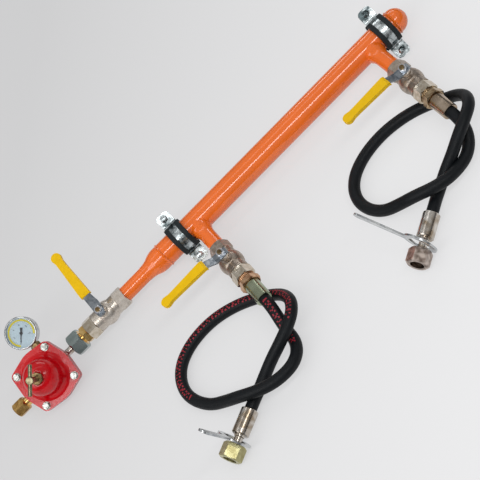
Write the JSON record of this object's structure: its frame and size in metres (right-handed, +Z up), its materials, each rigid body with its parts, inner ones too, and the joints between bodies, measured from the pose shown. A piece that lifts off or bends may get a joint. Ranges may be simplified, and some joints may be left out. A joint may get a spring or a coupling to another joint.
{
  "type": "lpg regulator",
  "caption": "Gas regulator with gauge and adjusting bar feeding a painted header pipe with a main ball valve, branch ball valves, wall clamps and flexible hoses with captive spanners.",
  "frame": {"origin": "middle of the footprint of the rigid manifold and its fittings, on the surface they lie on", "axes": "+X along the header pipe from the regulator to the far branch, +Y from the branch valves towards the header, +Z up from the surface"},
  "size_m": [0.9159, 0.4797, 0.1452],
  "materials": {
    "orange_paint": "gloss",
    "red_paint": "gloss",
    "zinc": "satin",
    "black_rubber": "matt",
    "nickel_brass": "satin",
    "ball_chrome": "polished",
    "brass": "satin",
    "ptfe": "satin",
    "yellow_grip": "satin",
    "spring_steel": "satin",
    "gauge_steel": "brushed",
    "gauge_white": "matt",
    "clear_lens": "polished",
    "black_needle": "matt",
    "bright_steel": "machined",
    "passivated": "yellow passivated zinc",
    "hose_rubber": "satin"
  },
  "bodies": {
    "manifold": {"header_pipe": "orange_paint", "end_cap": "orange_paint", "reducer": "orange_paint", "inlet_pipe": "orange_paint", "branch_stubs": "orange_paint", "clamp_fronts": "zinc", "clamp_backs": "zinc", "clamp_liners": "black_rubber", "clamp_screws": "zinc", "valve_body_main": "nickel_brass", "valve_body_a": "nickel_brass", "valve_body_b": "nickel_brass", "valve_retainers": "nickel_brass", "valve_seats": "ptfe", "packing_nuts": "nickel_brass", "regulator_body": "red_paint", "regulator_bonnet": "red_paint", "flange_bolts": "zinc", "bonnet_nut": "nickel_brass", "range_spring": "spring_steel", "diaphragm": "black_rubber", "gauge_case": "gauge_steel", "gauge_lens": "clear_lens", "gauge_dial": "gauge_white", "gauge_block": "brass", "tailpiece": "bright_steel", "inlet_nipple": "brass", "outlet_stub": "brass", "hose_adapters": "nickel_brass", "start_ferrules": "passivated", "hose_a": "hose_rubber", "hose_b": "hose_rubber", "hose_end_a": "bright_steel", "hose_end_b": "bright_steel"},
    "valve_key_main": {"valve_ball_main": "ball_chrome", "valve_stem_main": "brass", "lever_main": "zinc", "lever_grip_main": "yellow_grip", "lever_nut_main": "zinc"},
    "valve_key_a": {"valve_ball_a": "ball_chrome", "valve_stem_a": "brass", "lever_a": "zinc", "lever_grip_a": "yellow_grip", "lever_nut_a": "zinc"},
    "valve_key_b": {"valve_ball_b": "ball_chrome", "valve_stem_b": "brass", "lever_b": "zinc", "lever_grip_b": "yellow_grip", "lever_nut_b": "zinc"},
    "plate": {"spring_plate": "spring_steel"},
    "adjuster": {"adjusting_screw": "nickel_brass", "tee_bar": "nickel_brass"},
    "plunger": {"valve_plunger": "brass"},
    "pointer": {"gauge_pointer": "black_needle"},
    "inlet_union": {"union_nut": "zinc"},
    "outlet_union": {"outlet_nut": "brass"},
    "hose_nut_a": {"end_nut_a": "passivated"},
    "hose_nut_b": {"end_nut_b": "passivated"},
    "hand_spanner_a": {"spanner_a": "bright_steel"},
    "hand_spanner_b": {"spanner_b": "bright_steel"}
  },
  "joints": [
    {"name": "main_lever_turn", "type": "hinge", "parent": "manifold", "child": "valve_key_main", "pos_m": [-0.2345, 0.0586, 0.0365], "axis": [0, 0.3746, -0.9272], "range_deg": [-3.2, 86.8]},
    {"name": "lever_a_turn", "type": "hinge", "parent": "manifold", "child": "valve_key_a", "pos_m": [-0.0238, -0.0589, 0.0365], "axis": [0, 0, 1], "range_deg": [0, 90]},
    {"name": "lever_b_turn", "type": "hinge", "parent": "manifold", "child": "valve_key_b", "pos_m": [0.3772, -0.0589, 0.0365], "axis": [0, 0, 1], "range_deg": [0, 90]},
    {"name": "plate_feed", "type": "slide", "parent": "manifold", "child": "plate", "axis": [0, 0.5736, -0.8192], "range_m": [0, 0.008], "deforming": ["range_spring"]},
    {"name": "screw_turn", "type": "hinge", "parent": "plate", "child": "adjuster", "pos_m": [-0.375, 0.05434, 0.03352], "axis": [0, 0.5736, -0.8192], "range_deg": [0, 1920]},
    {"name": "plunger_lift", "type": "slide", "parent": "manifold", "child": "plunger", "axis": [0, 0.5736, -0.8192], "range_m": [0, 0.0025]},
    {"name": "pointer_turn", "type": "hinge", "parent": "manifold", "child": "pointer", "pos_m": [-0.35945, 0.1221, 0.08097], "axis": [0, 0.5736, -0.8192], "range_deg": [0, 270]},
    {"name": "union_nut_turn", "type": "hinge", "parent": "manifold", "child": "inlet_union", "pos_m": [-0.303, 0.0586, 0.0365], "axis": [1, 0, 0], "continuous": true},
    {"name": "outlet_nut_turn", "type": "hinge", "parent": "manifold", "child": "outlet_union", "pos_m": [-0.4465, 0.05139, 0.03145], "axis": [-1, 0, 0], "continuous": true},
    {"name": "end_nut_a_turn", "type": "hinge", "parent": "manifold", "child": "hose_nut_a", "pos_m": [-0.2225, -0.30839, 0.01998], "axis": [-0.8605, -0.5048, 0.0688], "continuous": true},
    {"name": "end_nut_b_turn", "type": "hinge", "parent": "manifold", "child": "hose_nut_b", "pos_m": [0.17414, -0.29888, 0.01979], "axis": [-0.8147, -0.5765, 0.0627], "continuous": true},
    {"name": "spanner_a_turn", "type": "hinge", "parent": "manifold", "child": "hand_spanner_a", "pos_m": [-0.1969, -0.29337, 0.02694], "axis": [-0.9379, -0.3176, -0.1397], "range_deg": [-70, 70]},
    {"name": "spanner_b_turn", "type": "hinge", "parent": "manifold", "child": "hand_spanner_b", "pos_m": [0.20041, -0.28029, 0.02704], "axis": [-0.9367, -0.3485, -0.0347], "range_deg": [-130, 10]}
  ],
  "couplings": [
    {"joint": "screw_turn", "follows": "plate_feed", "rad_per_m": 4188.8}
  ]
}
